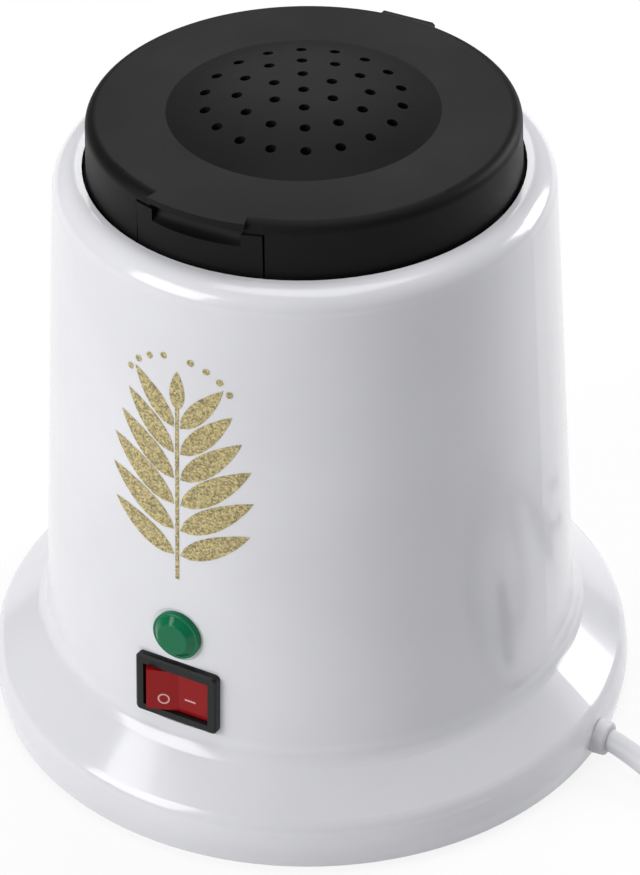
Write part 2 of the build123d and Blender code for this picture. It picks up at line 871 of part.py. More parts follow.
def make_terminal_block():
    """The three-way block on the base plate, with a bore along each way."""
    block = Box(block_width, block_length, block_height, align=(Align.CENTER, Align.CENTER, Align.MIN))
    block = chamfer(block.edges().filter_by(Axis.Y).group_by(Axis.Z)[-1], 2.0)
    block = Pos(block_x, 0, plate_top) * block
    half = block_width / 2
    seat = block_x - half + insert_recess
    for way in (-1, 0, 1):
        block -= block_bar(insert_radius + wire_gap, seat, block_x + half + 1, way)
        block -= block_bar(insert_bore_radius + wire_gap, block_x - half - 1, block_x, way)
    for hole in block_screw_holes():
        block -= hole
    return block


def make_inserts():
    """The brass tubes in the ways of the block."""
    half = block_width / 2 - insert_recess
    inserts = []
    for way, hole in zip((-1, 0, 1), block_screw_holes()):
        insert = block_bar(insert_radius, block_x - half, block_x + half, way)
        insert -= block_bar(insert_bore_radius, block_x - half - 1, block_x + half + 1, way)
        inserts.append(insert - hole)
    return Compound(children=inserts)


def make_block_screws():
    """The clamping screws of the block, each with a slot."""
    screws = []
    top = plate_top + block_height
    slot = Box(recess_length * 2, recess_width, 2 * recess_depth)
    head_low = top - block_screw_hole_depth
    head_top = top - block_screw_sunk
    shank_low = plate_top + block_bore_height + wire_radius + wire_gap
    for way in (-1, 0, 1):
        y = way * block_pitch
        screw = upright(block_screw_radius - 0.25, head_low, head_top, block_x, y)
        screw += upright(block_shank_radius, shank_low, head_low, block_x, y)
        screws.append(screw - Pos(block_x, y, head_top) * slot)
    return Compound(children=screws)


def switch_blade_end(side):
    """The frame at the end of a switch blade: Y leads away from it, Z runs across its width."""
    return switch_place * Pos(side * blade_spread, switch_body_depth + blade_length, 0)


def thermostat_blade_end(side):
    """The frame at the end of a thermostat blade: Y leads down from it, Z runs across its width."""
    y = thermostat_y + side * thermostat_blade_spread
    z = shield_bottom - thermostat_height - blade_length
    return Plane(origin=(thermostat_x, y, z), x_dir=(0, -1, 0), z_dir=(1, 0, 0)).location


def leaving(place, offset, reach):
    """The first two points of a wire that leaves a frame along its Y."""
    near = (place * Pos(0, wire_start, offset)).position
    far = (place * Pos(0, reach, offset)).position
    return [near, far]


def push_connector(place, offsets):
    """A sleeved connector on a blade, with a hole for each of its wires."""
    long = connector_over_blade + connector_behind
    box = Box(connector_width, long, connector_height, align=(Align.CENTER, Align.MIN, Align.CENTER))
    box = fillet(box.edges().filter_by(Axis.Y), 1.0)
    shape = Pos(0, -connector_over_blade, 0) * box
    slot = Box(
        blade_thickness + 2 * wire_gap,
        connector_over_blade + 2,
        blade_width + 2 * wire_gap,
        align=(Align.CENTER, Align.MAX, Align.CENTER),
    )
    shape -= Pos(0, wire_gap, 0) * slot
    for offset in offsets:
        shape -= Pos(0, 0, offset) * facing_bar(wire_radius + wire_gap, 0, connector_behind + 1)
    return place * shape


def make_connectors():
    """The four push-on connectors of the switch and the thermostat."""
    return Compound(
        children=[
            push_connector(switch_blade_end(-1), [-wire_pair_offset, wire_pair_offset]),
            push_connector(switch_blade_end(1), [0]),
            push_connector(thermostat_blade_end(-1), [0]),
            push_connector(thermostat_blade_end(1), [0]),
        ]
    )


def make_mains_core(side):
    """The live or the neutral core from the lead's end to the block."""
    level = plate_top + block_bore_height
    return wire(
        [
            (inner_lead_start_x - wire_gap, side * core_offset, cord_height - 0.4),
            (inner_lead_start_x - 3.3, side * core_offset * 1.2, cord_height - 0.3),
            (block_x + 9.5, side * block_pitch, level),
            (core_end_x, side * block_pitch, level),
        ]
    )


def make_earth_core():
    """The earth core, straight from the lead's end to the block."""
    return block_bar(wire_radius, core_end_x, inner_lead_start_x - wire_gap, 0)


def block_run(way, offset, before):
    """The last two points of a wire that enters the block from the middle of the unit."""
    level = plate_top + block_bore_height
    y = way * block_pitch + offset
    return [(block_x - before, y, level), (wire_end_x, y, level)]


def make_switch_wire():
    """From the block's live way to the switch."""
    inner = [(14.0, -22.0, 20.0), (block_x - 13.0, -block_pitch, 8.0)]
    return wire(leaving(switch_blade_end(1), 0, 10.0) + inner + block_run(-1, 0, 9.0))


def make_fuse_wire():
    """From the switch to the thermal fuse."""
    level = shield_bottom - fuse_radius
    inner = [(-15.0, -21.0, 46.0), (-15.0, fuse_y, level), (-fuse_length / 2 - wire_gap, fuse_y, level)]
    return wire(leaving(switch_blade_end(-1), -wire_pair_offset, 11.0) + inner)


def make_thermostat_wire():
    """From the thermal fuse to the thermostat."""
    level = shield_bottom - fuse_radius
    inner = [(10.0, -4.0, 44.0), (13.0, fuse_y, level), (fuse_length / 2 + wire_gap, fuse_y, level)]
    return wire(leaving(thermostat_blade_end(-1), 0, 9.0) + inner)


def heater_end(angle):
    """Where a wire meets the lower edge of the heater."""
    x, y = around(heater_wire_circle, angle)
    return (x, y, pot_bottom + heater_lift - wire_gap)


def make_heater_feed():
    """From the thermostat up to the heater."""
    x, y, top = heater_end(heater_wire_angles[0])
    return wire(leaving(thermostat_blade_end(1), 0, 9.0) + [(x, y, 43.0), (x, y, top)])


def make_heater_return():
    """From the heater down to the block's neutral way."""
    x, y, top = heater_end(heater_wire_angles[1])
    return wire([(x, y, top), (x, y, 50.0), (20.0, 14.0, 22.0)] + block_run(1, wire_pair_offset, 13.0))


def lamp_start(side):
    """The first two points of a wire at the back of the lamp."""
    return leaving(lamp_place * Pos(side * lamp_wire_spread, lamp_body_length, 0), 0, 9.0)


def make_lamp_feed():
    """From the switch to the lamp."""
    at_switch = leaving(switch_blade_end(-1), wire_pair_offset, 7.0)
    return wire(lamp_start(-1) + [(-4.5, -31.0, 47.0)] + list(reversed(at_switch)))


def make_lamp_return():
    """From the lamp to the block's neutral way."""
    inner = [(8.0, -26.0, 44.0), (20.0, 2.0, 24.0)]
    return wire(lamp_start(1) + inner + block_run(1, -wire_pair_offset, 14.0))


def make_earth_wire():
    """From the block's earth way to the tag on the base plate."""
    level = plate_top + barrel_radius
    end = earth_y - tag_tongue - barrel_length / 2
    start = list(reversed(block_run(0, 0, 11.5)))
    return wire(start + [(block_x - 15.5, 5.0, level + 0.3), (earth_x, 9.5, level), (earth_x, end, level)])


def make_earth_tag():
    """The ring tag on the earth stud, with its crimped barrel."""
    ring = upright(tag_radius, plate_top, plate_top + tag_thickness, earth_x, earth_y)
    tongue = Box(2 * barrel_radius, tag_tongue, tag_thickness, align=(Align.CENTER, Align.MAX, Align.MIN))
    tag = ring + Pos(earth_x, earth_y, plate_top) * tongue
    barrel_place = Pos(earth_x, earth_y - tag_tongue - barrel_length, plate_top + barrel_radius)
    tag += barrel_place * facing_bar(barrel_radius, 0, barrel_length + 0.5)
    tag -= barrel_place * facing_bar(wire_radius + wire_gap, -1, barrel_length)
    return tag - upright(stud_radius + 0.1, plate_top - 1, plate_top + stud_height, earth_x, earth_y)


def make_earth_stud():
    """The stud that is welded to the base plate."""
    return upright(stud_radius, plate_top, plate_top + stud_height, earth_x, earth_y)


def make_earth_nut():
    nut = RegularPolygon(3.0, 6) - Circle(stud_radius + wire_gap)
    return Pos(earth_x, earth_y, plate_top + tag_thickness) * extrude(nut, earth_nut_height)


# The lead's route from the gland's face to the coil, chosen by hand
lead_route = [
    (gland_end_x, 0.0, cord_height),
    (86.4, -1.3, 4.4),
    (97.0, -6.0, 2.9),
    (109.5, -9.6, cord_radius),
    (123.0, -11.2, cord_radius),
    (137.0, -9.6, cord_radius),
]

# The tail from the coil's upper layer to the plug, chosen by hand
tail_route = [
    (161.7, 41.9, 7.95),
    (151.0, 55.6, 7.7),
    (137.5, 64.6, 7.5),
    (121.5, 70.5, 7.5),
]


print("arc radii of the lead", [round(radius, 1) for radius in route_radii(lead_route)])
print("arc radii of the tail", [round(radius, 1) for radius in route_radii(tail_route)])


def make_gland():
    """The lead's bushing: head outside the rim, neck in the wall, taper inside."""
    head_start = spot_face_x
    head_end = gland_end_x
    tail_end = head_end - gland_total_length
    wall_inside = base_radius - shell_wall
    bore = cord_radius + gland_bore_gap
    outline_points = [
        (bore, tail_end),
        (gland_tail_radius, tail_end),
        (gland_neck_radius, wall_inside - 2.0),
        (gland_neck_radius, head_start),
        (gland_head_radius, head_start),
        (gland_head_radius - 0.2, head_end),
        (bore, head_end),
    ]
    gland = turned(outline_points, [0, 0, 0, 0, 0, 0.6, 0])
    return Pos(0, 0, cord_height) * (Rot(0, 90, 0) * gland) - tube(lead_route, cord_radius)


def make_inner_lead():
    """The sheathed lead inside the gland, up to where its cores part."""
    whole = cross_bar(cord_radius, inner_lead_start_x, gland_end_x, 0, cord_height)
    return whole - tube(lead_route, cord_radius)


def make_coil():
    """The put-away length as one closed ring that the lead and the tail run into."""
    half_wide = coil_turns_wide * cord_radius
    high = coil_layers * cord_diameter
    low_r = coil_mid_radius - half_wide
    high_r = coil_mid_radius + half_wide
    ring = turned([(low_r, 0), (high_r, 0), (high_r, high), (low_r, high)], [2.2] * 4)
    return Pos(coil_centre_x, coil_centre_y, 0) * ring


def make_tie():
    """The band that holds the coil."""
    half_wide = coil_turns_wide * cord_radius + tie_gap
    high = coil_layers * cord_diameter + tie_gap / 2
    standing = (Align.CENTER, Align.CENTER, Align.MIN)
    band = Box(2 * (half_wide + tie_thickness), tie_width, high + tie_thickness, align=standing)
    band -= Box(2 * half_wide, tie_width + 2, high, align=standing)
    x, y = around(coil_mid_radius, tie_angle)
    return Pos(coil_centre_x + x, coil_centre_y + y, 0) * (Rot(0, 0, tie_angle) * band)


def plug_place():
    """The frame of the plug: its X runs along the tail's last run."""
    last = Vector(*tail_route[-1])
    run = last - Vector(*tail_route[-2])
    turn = math.degrees(math.atan2(run.Y, run.X))
    return Location((last.X, last.Y, plug_face_height / 2), (0, 0, turn))


def make_plug_body():
    """A plain moulded plug that widens to its face."""
    neck = Plane((0, 0, 0), x_dir=(0, 1, 0), z_dir=(1, 0, 0))
    face = Plane((plug_length * 0.55, 0, 0), x_dir=(0, 1, 0), z_dir=(1, 0, 0))
    end = Plane((plug_length, 0, 0), x_dir=(0, 1, 0), z_dir=(1, 0, 0))
    small = neck * RectangleRounded(plug_neck_width, plug_neck_height, 3.0)
    large = face * RectangleRounded(plug_face_width, plug_face_height, 5.0)
    body = loft([small, large]) + extrude(large, plug_length * 0.45, dir=(1, 0, 0))
    return plug_place() * body


def make_plug_pins():
    pins = []
    for side in (-1, 1):
        pin = Rot(0, 90, 0) * extrude(Circle(pin_diameter_plug / 2), pin_length_plug)
        pin = chamfer(pin.edges().sort_by(Axis.X)[-1], 0.8)
        pins.append(plug_place() * (Pos(plug_length, side * pin_spacing_plug / 2, 0) * pin))
    return Compound(children=pins)


save("housing", make_housing())
save("base_plate", make_base_plate())
save("rubber_feet", make_feet())
save("base_screws", make_base_screws())
save("shield_posts", make_posts())
save("post_screws", make_post_screws())
save("deck", make_deck())
save("deck_screws", make_deck_screws())
save("lid", make_lid())
save("hinge_pin", make_hinge_pin())
save("crucible", make_crucible())
save("glass_beads", make_beads())
save("mouth_gasket", make_gasket())
save("heater_band", make_heater())
save("clamp_screws", make_clamp_screws())
save("insulation_sleeve", make_sleeve())
save("insulation_disc", make_disc())
save("heat_shield", make_shield())
save("thermostat", make_thermostat())
save("thermal_fuse", make_thermal_fuse())
save("switch_housing", make_switch_housing())
save("rocker", make_rocker())
save("switch_terminals", make_terminals())
save("lamp_lens", make_lens())
save("lamp_body", make_lamp_body())
save("lamp_nut", make_lamp_nut())
save("neon_bulb", make_bulb())
save("terminal_block", make_terminal_block())
save("block_inserts", make_inserts())
save("terminal_screws", make_block_screws())
save("push_connectors", make_connectors())
save("live_core", make_mains_core(-1))
save("neutral_core", make_mains_core(1))
save("earth_core", make_earth_core())
save("switch_wire", make_switch_wire())
save("fuse_wire", make_fuse_wire())
save("thermostat_wire", make_thermostat_wire())
save("heater_feed", make_heater_feed())
save("heater_return", make_heater_return())
save("lamp_feed", make_lamp_feed())
save("lamp_return", make_lamp_return())
save("earth_wire", make_earth_wire())
save("earth_tag", make_earth_tag())
save("earth_stud", make_earth_stud())
save("earth_nut", make_earth_nut())
save("cord_gland", make_gland())
save("inner_lead", make_inner_lead())
save("power_cord", tube(lead_route, cord_radius))
save("cord_coil", make_coil())
save("cord_tail", tube(tail_route, cord_radius))
save("cord_tie", make_tie())
save("plug_body", make_plug_body())
save("plug_pins", make_plug_pins())
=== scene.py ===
"""Dresses the glass bead sterilizer: finishes, bead fill, lead, ornament, switch marks and studio."""

import math
import random

import bmesh
import bpy
from bpy.props import FloatProperty, FloatVectorProperty, IntProperty, PointerProperty
from mathutils import Matrix, Vector


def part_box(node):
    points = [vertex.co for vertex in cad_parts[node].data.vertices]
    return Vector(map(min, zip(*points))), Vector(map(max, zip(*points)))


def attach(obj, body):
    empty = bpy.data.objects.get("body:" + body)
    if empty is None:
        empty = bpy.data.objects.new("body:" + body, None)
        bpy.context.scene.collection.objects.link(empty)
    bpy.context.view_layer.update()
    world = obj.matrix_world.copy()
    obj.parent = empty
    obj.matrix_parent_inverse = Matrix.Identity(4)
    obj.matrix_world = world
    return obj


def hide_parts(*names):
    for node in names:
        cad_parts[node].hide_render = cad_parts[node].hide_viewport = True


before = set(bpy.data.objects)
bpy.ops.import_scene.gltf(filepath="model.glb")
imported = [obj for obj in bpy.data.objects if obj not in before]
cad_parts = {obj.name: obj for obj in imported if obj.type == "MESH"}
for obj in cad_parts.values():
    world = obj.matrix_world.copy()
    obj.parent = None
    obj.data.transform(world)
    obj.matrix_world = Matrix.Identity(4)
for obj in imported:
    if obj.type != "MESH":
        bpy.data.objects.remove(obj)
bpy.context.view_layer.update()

bl_info = {
    "name": "Bead sterilizer dressing",
    "version": (1, 0, 0),
    "blender": (4, 5, 0),
    "location": "3D View, sidebar, Sterilizer",
    "description": "Finishes, beads, lead, ornament and studio for a glass bead sterilizer",
    "category": "Object",
}

MM = 0.001

# Wall of the housing, as the part has it
WALL_FOOT_RADIUS = 62.6 * MM
WALL_FOOT_HEIGHT = 23.2 * MM
WALL_TAPER = 0.065
WALL_LEAN = math.atan(WALL_TAPER)

# Switch and its button, as the part has them
SWITCH_HEIGHT = 35.2 * MM
SWITCH_SUNK = 0.9 * MM
BUTTON_PIVOT = 1.0 * MM
BUTTON_CROWN = 0.8 * MM
BUTTON_TILT = math.radians(10.0)

# Marks on the button, each spot on its own half's face
MARK_LIFT = 0.04 * MM
RING_OUTER = 1.4 * MM
RING_INNER = 1.02 * MM
RING_SPOT = (-3.5 * MM, -MARK_LIFT, -2.3 * MM)
BAR_LENGTH = 2.8 * MM
BAR_WIDTH = 0.45 * MM
BAR_SPOT = (2.9 * MM, -MARK_LIFT, -1.5 * MM)

# Sprig
PRINT_LIFT = 0.05 * MM
STEM_WIDTH = 0.9 * MM
BERRY_RADIUS = 0.8 * MM

# How much narrower the bead fill is at its foot
FILL_FOOT_STEP = 2.5 * MM

# Share of the floor that shows its own light, and the floor's radius
FLOOR_SHINE = 0.80
FLOOR_RADIUS = 3.0


def wall_radius(height):
    """Outer radius of the housing's wall at a height."""
    return WALL_FOOT_RADIUS - (height - WALL_FOOT_HEIGHT) * WALL_TAPER


class PlasticSettings(bpy.types.PropertyGroup):
    """Finish of the moulded pieces."""

    shell_colour: FloatVectorProperty(
        name="Shell colour", description="Colour of the white housing", subtype="COLOR", size=3,
        default=(0.80, 0.80, 0.835), min=0.0, max=1.0,
    )
    shell_roughness: FloatProperty(
        name="Shell roughness", description="Roughness of the glossy shell", default=0.16, min=0.0, max=1.0
    )
    cap_colour: FloatVectorProperty(
        name="Cap colour", description="Colour of the lid and the deck", subtype="COLOR", size=3,
        default=(0.006, 0.0055, 0.006), min=0.0, max=1.0,
    )
    cap_roughness: FloatProperty(
        name="Cap roughness", description="Roughness of the satin black cap", default=0.42, min=0.0, max=1.0
    )


class BeadSettings(bpy.types.PropertyGroup):
    """Size of the glass beads in the pot."""

    diameter: FloatProperty(
        name="Bead diameter", description="Diameter of one bead",
        default=2.0 * MM, min=0.5 * MM, unit="LENGTH",
    )
    layers: IntProperty(name="Layers", description="Layers of beads that are drawn", default=2, min=1, max=4)


class LeadSettings(bpy.types.PropertyGroup):
    """Size of the mains lead."""

    diameter: FloatProperty(
        name="Lead diameter", description="Outer diameter of the lead",
        default=5.3 * MM, min=1 * MM, unit="LENGTH",
    )
    coil_radius: FloatProperty(
        name="Coil radius", description="Radius of the coil's middle turn", default=31.0 * MM, unit="LENGTH"
    )
    points_per_turn: IntProperty(
        name="Points per turn", description="Control points in one turn of the coil", default=16, min=12
    )


class OrnamentSettings(bpy.types.PropertyGroup):
    """Size and colour of the printed sprig."""

    low: FloatProperty(
        name="Lower end", description="Height of the sprig's foot", default=66.0 * MM, unit="LENGTH"
    )
    high: FloatProperty(
        name="Upper end", description="Height of the sprig's tip", default=119.0 * MM, unit="LENGTH"
    )
    half_width: FloatProperty(
        name="Half width", description="Reach of the sprig to each side", default=21.5 * MM, unit="LENGTH"
    )
    pairs: IntProperty(name="Leaf pairs", description="Pairs of leaves on the sprig", default=6, min=2)
    colour: FloatVectorProperty(
        name="Print colour", description="Mean colour of the gold print", subtype="COLOR", size=3,
        default=(0.42, 0.35, 0.17), min=0.0, max=1.0,
    )


class StudioSettings(bpy.types.PropertyGroup):
    """Camera and lamps of the studio."""

    azimuth: FloatProperty(
        name="Azimuth", description="Side from which the camera looks", default=math.radians(28.9),
        subtype="ANGLE",
    )
    elevation: FloatProperty(
        name="Elevation", description="Height of the camera above the horizon", default=math.radians(36.06),
        subtype="ANGLE",
    )
    roll: FloatProperty(
        name="Roll", description="Turn of the camera's frame", default=math.radians(-0.724), subtype="ANGLE"
    )
    distance: FloatProperty(
        name="Distance", description="Camera to its target", default=0.7786, unit="LENGTH"
    )
    lens: FloatProperty(name="Lens", description="Focal length in millimetres", default=138.76)
    key_power: FloatProperty(
        name="Key light", description="Power of the lamp in front on the left, in watts", default=8.3
    )
    rim_power: FloatProperty(
        name="Rim light", description="Power of the lamp behind on the right, in watts", default=6.5
    )
    back_power: FloatProperty(
        name="Back light", description="Power of the lamp behind on the left, in watts", default=2.4
    )
    top_power: FloatProperty(name="Top light", description="Power of the lamp above, in watts", default=4.3)
    sky: FloatProperty(name="Sky", description="Strength of the even light from all round", default=0.2)
    floor_glow: FloatProperty(name="Floor glow", description="Brightness that the floor shows", default=1.07)


# Shader helpers


def new_group(name, inputs, outputs):
    """An empty shader group with named float inputs and outputs."""
    group = bpy.data.node_groups.new(name, "ShaderNodeTree")
    for label, default in inputs:
        socket = group.interface.new_socket(label, in_out="INPUT", socket_type="NodeSocketFloat")
        socket.default_value = default
    for label, kind in outputs:
        group.interface.new_socket(label, in_out="OUTPUT", socket_type=kind)
    entry = group.nodes.new("NodeGroupInput")
    leave = group.nodes.new("NodeGroupOutput")
    return group, entry, leave


def object_coordinates(tree):
    """Where a point lies on the piece itself."""
    return tree.nodes.new("ShaderNodeTexCoord").outputs["Object"]


def noise_node(tree, vector, scale, detail=2.0):
    """A noise texture on given coordinates."""
    node = tree.nodes.new("ShaderNodeTexNoise")
    node.inputs["Scale"].default_value = scale
    node.inputs["Detail"].default_value = detail
    tree.links.new(vector, node.inputs["Vector"])
    return node


def build_moulded_skin():
    """Fine height of a moulded surface: a slow ripple with a fine grain over it."""
    group, entry, leave = new_group(
        "moulded_skin",
        [("Ripple Scale", 60.0), ("Grain Scale", 2200.0), ("Grain Share", 0.2)],
        [("Height", "NodeSocketFloat")],
    )
    place = object_coordinates(group)
    ripple = noise_node(group, place, 60.0, 1.0)
    grain = noise_node(group, place, 2200.0, 2.0)
    group.links.new(entry.outputs["Ripple Scale"], ripple.inputs["Scale"])
    group.links.new(entry.outputs["Grain Scale"], grain.inputs["Scale"])
    mix = group.nodes.new("ShaderNodeMix")
    group.links.new(entry.outputs["Grain Share"], mix.inputs["Factor"])
    group.links.new(ripple.outputs["Fac"], mix.inputs["A"])
    group.links.new(grain.outputs["Fac"], mix.inputs["B"])
    group.links.new(mix.outputs["Result"], leave.inputs["Height"])
    return group


def build_handling():
    """Roughness that varies with faint finger marks and dust."""
    group, entry, leave = new_group(
        "handling_marks",
        [("Low", 0.2), ("High", 0.3), ("Scale", 25.0)],
        [("Roughness", "NodeSocketFloat"), ("Mask", "NodeSocketFloat")],
    )
    place = object_coordinates(group)
    cloud = noise_node(group, place, 25.0, 5.0)
    group.links.new(entry.outputs["Scale"], cloud.inputs["Scale"])
    spread = group.nodes.new("ShaderNodeMapRange")
    spread.inputs["From Min"].default_value = 0.35
    spread.inputs["From Max"].default_value = 0.7
    group.links.new(cloud.outputs["Fac"], spread.inputs["Value"])
    group.links.new(entry.outputs["Low"], spread.inputs["To Min"])
    group.links.new(entry.outputs["High"], spread.inputs["To Max"])
    mask = group.nodes.new("ShaderNodeMapRange")
    mask.inputs["From Min"].default_value = 0.4
    mask.inputs["From Max"].default_value = 0.75
    group.links.new(cloud.outputs["Fac"], mask.inputs["Value"])
    group.links.new(spread.outputs["Result"], leave.inputs["Roughness"])
    group.links.new(mask.outputs["Result"], leave.inputs["Mask"])
    return group


def build_drawn_lines():
    """Height of the fine lines that drawing or turning leaves on metal, level all round."""
    group, entry, leave = new_group("drawn_lines", [("Density", 900.0)], [("Height", "NodeSocketFloat")])
    place = object_coordinates(group)
    stretch = group.nodes.new("ShaderNodeMapping")
    stretch.inputs["Scale"].default_value = (0.04, 0.04, 1.0)
    group.links.new(place, stretch.inputs["Vector"])
    lines = noise_node(group, stretch.outputs["Vector"], 900.0, 3.0)
    group.links.new(entry.outputs["Density"], lines.inputs["Scale"])
    group.links.new(lines.outputs["Fac"], leave.inputs["Height"])
    return group


def build_flakes():
    """Random brightness of small flakes, for the glitter in the print."""
    group, entry, leave = new_group("glitter_flakes", [("Scale", 2600.0)], [("Value", "NodeSocketFloat")])
    place = object_coordinates(group)
    cells = group.nodes.new("ShaderNodeTexVoronoi")
    group.links.new(place, cells.inputs["Vector"])
    group.links.new(entry.outputs["Scale"], cells.inputs["Scale"])
    split = group.nodes.new("ShaderNodeSeparateColor")
    group.links.new(cells.outputs["Color"], split.inputs["Color"])
    group.links.new(split.outputs["Red"], leave.inputs["Value"])
    return group


GROUP_BUILDERS = {
    "moulded_skin": build_moulded_skin,
    "handling_marks": build_handling,
    "drawn_lines": build_drawn_lines,
    "glitter_flakes": build_flakes,
}


def place_group(tree, name, **values):
    """A node of a shared group, with its own values."""
    group = bpy.data.node_groups.get(name) or GROUP_BUILDERS[name]()
    node = tree.nodes.new("ShaderNodeGroup")
    node.node_tree = group
    for label, value in values.items():
        node.inputs[label.replace("_", " ")].default_value = value
    return node


def new_material(name, colour, roughness, **plain):
    """A material with a Principled shader; plain values go straight to its sockets."""
    material = bpy.data.materials.new(name)
    material.use_nodes = True
    shader = material.node_tree.nodes["Principled BSDF"]
    shader.inputs["Base Color"].default_value = (*colour, 1.0)
    shader.inputs["Roughness"].default_value = roughness
    for label, value in plain.items():
        shader.inputs[label.replace("_", " ")].default_value = value
    return material, material.node_tree, shader


def add_bump(tree, shader, height, distance, strength=1.0):
    """Feeds a height to the shader as a bump."""
    bump = tree.nodes.new("ShaderNodeBump")
    bump.inputs["Distance"].default_value = distance
    bump.inputs["Strength"].default_value = strength
    tree.links.new(height, bump.inputs["Height"])
    tree.links.new(bump.outputs["Normal"], shader.inputs["Normal"])


def tinted(tree, shader, mask, base, other):
    """Base Color that moves from one colour to another with a mask."""
    mix = tree.nodes.new("ShaderNodeMix")
    mix.data_type = "RGBA"
    mix.inputs["A"].default_value = (*base, 1.0)
    mix.inputs["B"].default_value = (*other, 1.0)
    tree.links.new(mask, mix.inputs["Factor"])
    tree.links.new(mix.outputs["Result"], shader.inputs["Base Color"])


def moulded_material(name, colour, low, high, ripple=60.0, grain=2200.0, share=0.25, depth=0.00002, **plain):
    """A moulded plastic: its grain, its slow ripple and its handling marks."""
    material, tree, shader = new_material(name, colour, low, **plain)
    marks = place_group(tree, "handling_marks", Low=low, High=high, Scale=22.0)
    tree.links.new(marks.outputs["Roughness"], shader.inputs["Roughness"])
    worn = tuple(min(1.0, part * 1.06 + 0.004) for part in colour)
    tinted(tree, shader, marks.outputs["Mask"], colour, worn)
    skin = place_group(tree, "moulded_skin", Ripple_Scale=ripple, Grain_Scale=grain, Grain_Share=share)
    add_bump(tree, shader, skin.outputs["Height"], depth)
    return material


def metal_material(name, colour, low, high, density=900.0, depth=0.00001):
    """A bare metal with fine lines and uneven polish."""
    material, tree, shader = new_material(name, colour, low, Metallic=1.0)
    marks = place_group(tree, "handling_marks", Low=low, High=high, Scale=60.0)
    tree.links.new(marks.outputs["Roughness"], shader.inputs["Roughness"])
    darker = tuple(part * 0.86 for part in colour)
    tinted(tree, shader, marks.outputs["Mask"], colour, darker)
    lines = place_group(tree, "drawn_lines", Density=density)
    add_bump(tree, shader, lines.outputs["Height"], depth)
    return material


def clear_plastic(name, colour, roughness, clear, glow=0.0):
    """A tinted clear plastic with a little flow ripple in it."""
    material, tree, shader = new_material(
        name, colour, roughness,
        Transmission_Weight=clear, IOR=1.49, Emission_Strength=glow, Specular_IOR_Level=0.15,
    )
    shader.inputs["Emission Color"].default_value = (*colour, 1.0)
    skin = place_group(tree, "moulded_skin", Ripple_Scale=300.0, Grain_Scale=3000.0, Grain_Share=0.1)
    add_bump(tree, shader, skin.outputs["Height"], 0.00003)
    return material


def fibre_material(name, colour):
    """Pressed ceramic fibre: matt, with tangled strands."""
    material, tree, shader = new_material(name, colour, 0.95)
    place = object_coordinates(tree)
    strands = noise_node(tree, place, 700.0, 6.0)
    shade = tuple(part * 0.8 for part in colour)
    tinted(tree, shader, strands.outputs["Fac"], colour, shade)
    add_bump(tree, shader, strands.outputs["Fac"], 0.0004)
    return material


def dress(material, *nodes):
    """Gives CAD nodes a material."""
    for name in nodes:
        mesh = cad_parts[name].data
        mesh.materials.clear()
        mesh.materials.append(material)


# Mesh helpers


def finished_piece(name, shape, material, body, smooth=True):
    """A new piece from a bmesh that is already in place, riding on a body."""
    mesh = bpy.data.meshes.new(name)
    shape.to_mesh(mesh)
    shape.free()
    if smooth:
        mesh.shade_smooth()
    piece = bpy.data.objects.new(name, mesh)
    bpy.context.scene.collection.objects.link(piece)
    mesh.materials.append(material)
    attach(piece, body)
    return piece


def add_leaf(shape, centre, angle, length, width):
    """A pointed leaf in the flat, its foot at a point and its tip at an angle from upright."""
    grid = bmesh.ops.create_grid(shape, x_segments=4, y_segments=10, size=0.5)["verts"]
    for vert in grid:
        along = vert.co.y + 0.5
        belly = math.sin(math.pi * along**0.8) ** 0.8
        vert.co.x *= width * max(belly, 0.02)
        vert.co.y = along * length
    bmesh.ops.rotate(shape, verts=grid, cent=(0, 0, 0), matrix=Matrix.Rotation(-angle, 3, "Z"))
    bmesh.ops.translate(shape, verts=grid, vec=(*centre, 0.0))


def add_ribbon(shape, line, width):
    """A flat ribbon along a line of points in the flat."""
    count = len(line) - 1
    grid = bmesh.ops.create_grid(shape, x_segments=1, y_segments=count, size=0.5)["verts"]
    for vert in grid:
        step = round((vert.co.y + 0.5) * count)
        side = vert.co.x
        before = Vector(line[max(step - 1, 0)])
        after = Vector(line[min(step + 1, count)])
        run = (after - before).normalized()
        spot = Vector(line[step])
        vert.co = Vector((spot.x + run.y * side * width, spot.y - run.x * side * width, 0.0))


def add_dot(shape, centre, radius):
    """A round dot in the flat."""
    ring = bmesh.ops.create_circle(shape, cap_ends=True, cap_tris=True, segments=20, radius=radius)["verts"]
    bmesh.ops.translate(shape, verts=ring, vec=(*centre, 0.0))


def wrap_on_wall(shape, lift):
    """Lays a flat drawing, x sideways and y up, round the front of the housing's wall."""
    for vert in shape.verts:
        height = vert.co.y
        radius = wall_radius(height)
        turn = vert.co.x / radius
        reach = radius + lift
        vert.co = Vector((math.sin(turn) * reach, -math.cos(turn) * reach, height))


def switch_frame():
    """The frame on the switch's face, with -Y pointing out."""
    seat = Matrix.Translation((0, -wall_radius(SWITCH_HEIGHT), SWITCH_HEIGHT))
    lean = Matrix.Rotation(-WALL_LEAN, 4, "X")
    return seat @ lean @ Matrix.Translation((0, SWITCH_SUNK, 0))


def button_half(side):
    """The frame on one half of the button's face at rest: X along the face, -Y out."""
    pivot = Matrix.Translation((0, BUTTON_PIVOT, 0))
    turned = pivot @ Matrix.Rotation(BUTTON_TILT, 4, "Z") @ pivot.inverted()
    crown = Matrix.Translation((0, -BUTTON_CROWN, 0))
    slope = Matrix.Rotation(-side * BUTTON_TILT, 4, "Z")
    return switch_frame() @ turned @ crown @ slope


# Operators


